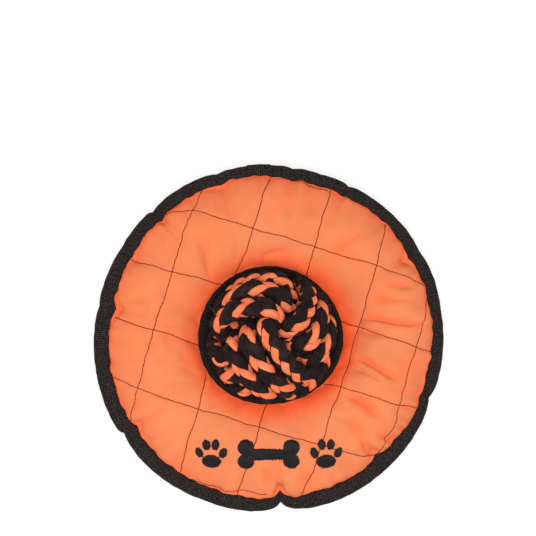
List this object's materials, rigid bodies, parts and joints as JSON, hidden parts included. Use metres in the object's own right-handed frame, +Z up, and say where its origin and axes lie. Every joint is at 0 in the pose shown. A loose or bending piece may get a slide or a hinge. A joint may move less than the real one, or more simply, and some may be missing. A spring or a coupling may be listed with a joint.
{
  "type": "flying ring",
  "caption": "Stuffed fabric flying ring with quilted covers and webbing edges, and a ball of braided rope that turns in its middle.",
  "frame": {"origin": "on the ground that the ring lies on, at the middle of the ring", "axes": "+Z up through the ring's middle, +Y away from the embroidered edge, +X to the right of it"},
  "size_m": [0.21, 0.21, 0.075],
  "materials": {
    "orange_fabric": "matte",
    "lining_fabric": "matte",
    "fibre_filling": "matte",
    "black_webbing": "matte",
    "black_thread": "matte",
    "quilting_thread": "matte",
    "embroidery_thread": "satin",
    "backing_fabric": "matte",
    "core_foam": "matte",
    "two_colour_rope": "matte"
  },
  "bodies": {
    "ring": {"top_cover": "orange_fabric", "bottom_cover": "orange_fabric", "top_lining": "lining_fabric", "bottom_lining": "lining_fabric", "stuffing_ring": "fibre_filling", "rim_binding": "black_webbing", "collar_binding": "black_webbing", "rim_needle_thread": "black_thread", "rim_bobbin_thread": "black_thread", "collar_needle_thread": "black_thread", "collar_bobbin_thread": "black_thread", "top_quilting_along": "quilting_thread", "top_quilting_across": "quilting_thread", "bottom_quilting_along": "quilting_thread", "bottom_quilting_across": "quilting_thread", "motif_embroidery": "embroidery_thread", "embroidery_backing": "backing_fabric"},
    "ball": {"ball_core": "core_foam", "rope_wrap_first": "two_colour_rope", "rope_wrap_second": "two_colour_rope", "rope_wrap_third": "two_colour_rope"}
  },
  "joints": [
    {"name": "ball_turn", "type": "hinge", "parent": "ring", "child": "ball", "pos_m": [0, 0, 0.0375], "axis": [0, 0, 1], "continuous": true}
  ]
}
